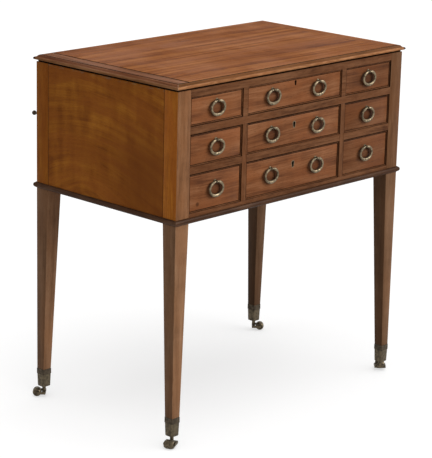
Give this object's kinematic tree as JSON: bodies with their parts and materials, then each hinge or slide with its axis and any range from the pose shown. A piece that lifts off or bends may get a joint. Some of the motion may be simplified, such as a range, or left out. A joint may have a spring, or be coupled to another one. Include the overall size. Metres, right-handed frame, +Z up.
{
  "type": "dressing table",
  "caption": "Mahogany dressing table: hinged moulded lid over a shallow well, sham fronts above real drawers with oval brass ring pulls, tapered square legs on brass casters.",
  "frame": {"origin": "on the floor, below the middle of the case", "axes": "+Z up, the drawer fronts face -Y, +X to the right of someone facing the front"},
  "size_m": [0.789, 0.4873, 0.8278],
  "materials": {
    "top_mahogany": "old wax polish",
    "front_mahogany": "old wax polish",
    "side_mahogany": "old wax polish",
    "leg_mahogany": "dark old polish",
    "moulding_mahogany": "dark old polish",
    "ring_brass": "aged lacquered brass",
    "caster_bronze": "dark aged brass",
    "hinge_brass": "aged brass",
    "knob_bronze": "blackened brass",
    "lining_oak": "bare aged oak"
  },
  "bodies": {
    "case": {"back": "side_mahogany", "case_bottom": "front_mahogany", "cup_back_left": "caster_bronze", "cup_back_right": "caster_bronze", "cup_front_left": "caster_bronze", "cup_front_right": "caster_bronze", "drawer_shelf": "front_mahogany", "hinge_left": "hinge_brass", "hinge_right": "hinge_brass", "partition_left": "front_mahogany", "partition_right": "front_mahogany", "post_back_left": "leg_mahogany", "post_back_right": "leg_mahogany", "post_front_left": "leg_mahogany", "post_front_right": "leg_mahogany", "rear_knob": "knob_bronze", "sham_front": "front_mahogany", "side_left": "side_mahogany", "side_right": "side_mahogany", "waist_moulding": "moulding_mahogany", "well_floor": "front_mahogany", "eye_sham_centre_left": "ring_brass", "eye_sham_centre_right": "ring_brass", "eye_sham_left": "ring_brass", "eye_sham_right": "ring_brass"},
    "lid": {"lid": "top_mahogany"},
    "upper_left_drawer": {"drawer_upper_left": "front_mahogany", "eye_upper_left": "ring_brass"},
    "upper_centre_drawer": {"drawer_upper_centre": "front_mahogany", "eye_upper_centre_left": "ring_brass", "eye_upper_centre_right": "ring_brass"},
    "upper_right_drawer": {"drawer_upper_right": "front_mahogany", "eye_upper_right": "ring_brass"},
    "lower_left_drawer": {"drawer_lower_left": "front_mahogany", "eye_lower_left": "ring_brass"},
    "lower_centre_drawer": {"drawer_lower_centre": "front_mahogany", "eye_lower_centre_left": "ring_brass", "eye_lower_centre_right": "ring_brass"},
    "lower_right_drawer": {"drawer_lower_right": "front_mahogany", "eye_lower_right": "ring_brass"},
    "lower_centre_left_ring": {"ring_lower_centre_left": "ring_brass"},
    "lower_centre_right_ring": {"ring_lower_centre_right": "ring_brass"},
    "lower_left_ring": {"ring_lower_left": "ring_brass"},
    "lower_right_ring": {"ring_lower_right": "ring_brass"},
    "sham_centre_left_ring": {"ring_sham_centre_left": "ring_brass"},
    "sham_centre_right_ring": {"ring_sham_centre_right": "ring_brass"},
    "sham_left_ring": {"ring_sham_left": "ring_brass"},
    "sham_right_ring": {"ring_sham_right": "ring_brass"},
    "upper_centre_left_ring": {"ring_upper_centre_left": "ring_brass"},
    "upper_centre_right_ring": {"ring_upper_centre_right": "ring_brass"},
    "upper_left_ring": {"ring_upper_left": "ring_brass"},
    "upper_right_ring": {"ring_upper_right": "ring_brass"},
    "front_left_swivel": {"horn_front_left": "caster_bronze"},
    "front_left_roller": {"wheel_front_left": "caster_bronze"},
    "front_right_swivel": {"horn_front_right": "caster_bronze"},
    "front_right_roller": {"wheel_front_right": "caster_bronze"},
    "back_left_swivel": {"horn_back_left": "caster_bronze"},
    "back_left_roller": {"wheel_back_left": "caster_bronze"},
    "back_right_swivel": {"horn_back_right": "caster_bronze"},
    "back_right_roller": {"wheel_back_right": "caster_bronze"}
  },
  "joints": [
    {"name": "lid_hinge", "type": "hinge", "parent": "case", "child": "lid", "pos_m": [0, 0.233, 0.8119], "axis": [-1, 0, 0], "range_deg": [0, 100]},
    {"name": "upper_left_drawer_slide", "type": "slide", "parent": "case", "child": "upper_left_drawer", "axis": [0, -1, 0], "range_m": [0, 0.32]},
    {"name": "upper_centre_drawer_slide", "type": "slide", "parent": "case", "child": "upper_centre_drawer", "axis": [0, -1, 0], "range_m": [0, 0.32]},
    {"name": "upper_right_drawer_slide", "type": "slide", "parent": "case", "child": "upper_right_drawer", "axis": [0, -1, 0], "range_m": [0, 0.32]},
    {"name": "lower_left_drawer_slide", "type": "slide", "parent": "case", "child": "lower_left_drawer", "axis": [0, -1, 0], "range_m": [0, 0.32]},
    {"name": "lower_centre_drawer_slide", "type": "slide", "parent": "case", "child": "lower_centre_drawer", "axis": [0, -1, 0], "range_m": [0, 0.32]},
    {"name": "lower_right_drawer_slide", "type": "slide", "parent": "case", "child": "lower_right_drawer", "axis": [0, -1, 0], "range_m": [0, 0.32]},
    {"name": "lower_centre_left_ring_swing", "type": "hinge", "parent": "lower_centre_drawer", "child": "lower_centre_left_ring", "pos_m": [-0.0775, -0.2309, 0.59665], "axis": [-1, 0, 0], "range_deg": [-2, 120]},
    {"name": "lower_centre_right_ring_swing", "type": "hinge", "parent": "lower_centre_drawer", "child": "lower_centre_right_ring", "pos_m": [0.0775, -0.2309, 0.59665], "axis": [-1, 0, 0], "range_deg": [-2, 120]},
    {"name": "lower_left_ring_swing", "type": "hinge", "parent": "lower_left_drawer", "child": "lower_left_ring", "pos_m": [-0.25727, -0.2309, 0.59665], "axis": [-1, 0, 0], "range_deg": [-2, 120]},
    {"name": "lower_right_ring_swing", "type": "hinge", "parent": "lower_right_drawer", "child": "lower_right_ring", "pos_m": [0.25727, -0.2309, 0.59665], "axis": [-1, 0, 0], "range_deg": [-2, 120]},
    {"name": "sham_centre_left_ring_swing", "type": "hinge", "parent": "case", "child": "sham_centre_left_ring", "pos_m": [-0.0775, -0.2309, 0.77845], "axis": [-1, 0, 0], "range_deg": [-2, 120]},
    {"name": "sham_centre_right_ring_swing", "type": "hinge", "parent": "case", "child": "sham_centre_right_ring", "pos_m": [0.0775, -0.2309, 0.77845], "axis": [-1, 0, 0], "range_deg": [-2, 120]},
    {"name": "sham_left_ring_swing", "type": "hinge", "parent": "case", "child": "sham_left_ring", "pos_m": [-0.25727, -0.2309, 0.77845], "axis": [-1, 0, 0], "range_deg": [-2, 120]},
    {"name": "sham_right_ring_swing", "type": "hinge", "parent": "case", "child": "sham_right_ring", "pos_m": [0.25727, -0.2309, 0.77845], "axis": [-1, 0, 0], "range_deg": [-2, 120]},
    {"name": "upper_centre_left_ring_swing", "type": "hinge", "parent": "upper_centre_drawer", "child": "upper_centre_left_ring", "pos_m": [-0.0775, -0.2309, 0.69115], "axis": [-1, 0, 0], "range_deg": [-2, 120]},
    {"name": "upper_centre_right_ring_swing", "type": "hinge", "parent": "upper_centre_drawer", "child": "upper_centre_right_ring", "pos_m": [0.0775, -0.2309, 0.69115], "axis": [-1, 0, 0], "range_deg": [-2, 120]},
    {"name": "upper_left_ring_swing", "type": "hinge", "parent": "upper_left_drawer", "child": "upper_left_ring", "pos_m": [-0.25727, -0.2309, 0.69115], "axis": [-1, 0, 0], "range_deg": [-2, 120]},
    {"name": "upper_right_ring_swing", "type": "hinge", "parent": "upper_right_drawer", "child": "upper_right_ring", "pos_m": [0.25727, -0.2309, 0.69115], "axis": [-1, 0, 0], "range_deg": [-2, 120]},
    {"name": "front_left_swivel_turn", "type": "hinge", "parent": "case", "child": "front_left_swivel", "pos_m": [-0.3684, -0.2169, 0.0261], "axis": [0, 0, 1], "continuous": true},
    {"name": "front_left_roller_spin", "type": "hinge", "parent": "front_left_swivel", "child": "front_left_roller", "pos_m": [-0.38315, -0.22429, 0.0105], "axis": [0.4478, -0.8942, 0], "continuous": true},
    {"name": "front_right_swivel_turn", "type": "hinge", "parent": "case", "child": "front_right_swivel", "pos_m": [0.3684, -0.2169, 0.0261], "axis": [0, 0, 1], "continuous": true},
    {"name": "front_right_roller_spin", "type": "hinge", "parent": "front_right_swivel", "child": "front_right_roller", "pos_m": [0.38035, -0.20552, 0.0105], "axis": [-0.6896, 0.7242, 0], "continuous": true},
    {"name": "back_left_swivel_turn", "type": "hinge", "parent": "case", "child": "back_left_swivel", "pos_m": [-0.3684, 0.2169, 0.0261], "axis": [0, 0, 1], "continuous": true},
    {"name": "back_left_roller_spin", "type": "hinge", "parent": "back_left_swivel", "child": "back_left_roller", "pos_m": [-0.37986, 0.22877, 0.0105], "axis": [-0.7193, -0.6947, 0], "continuous": true},
    {"name": "back_right_swivel_turn", "type": "hinge", "parent": "case", "child": "back_right_swivel", "pos_m": [0.3684, 0.2169, 0.0261], "axis": [0, 0, 1], "continuous": true},
    {"name": "back_right_roller_spin", "type": "hinge", "parent": "back_right_swivel", "child": "back_right_roller", "pos_m": [0.37986, 0.20503, 0.0105], "axis": [0.7193, 0.6947, 0], "continuous": true}
  ]
}
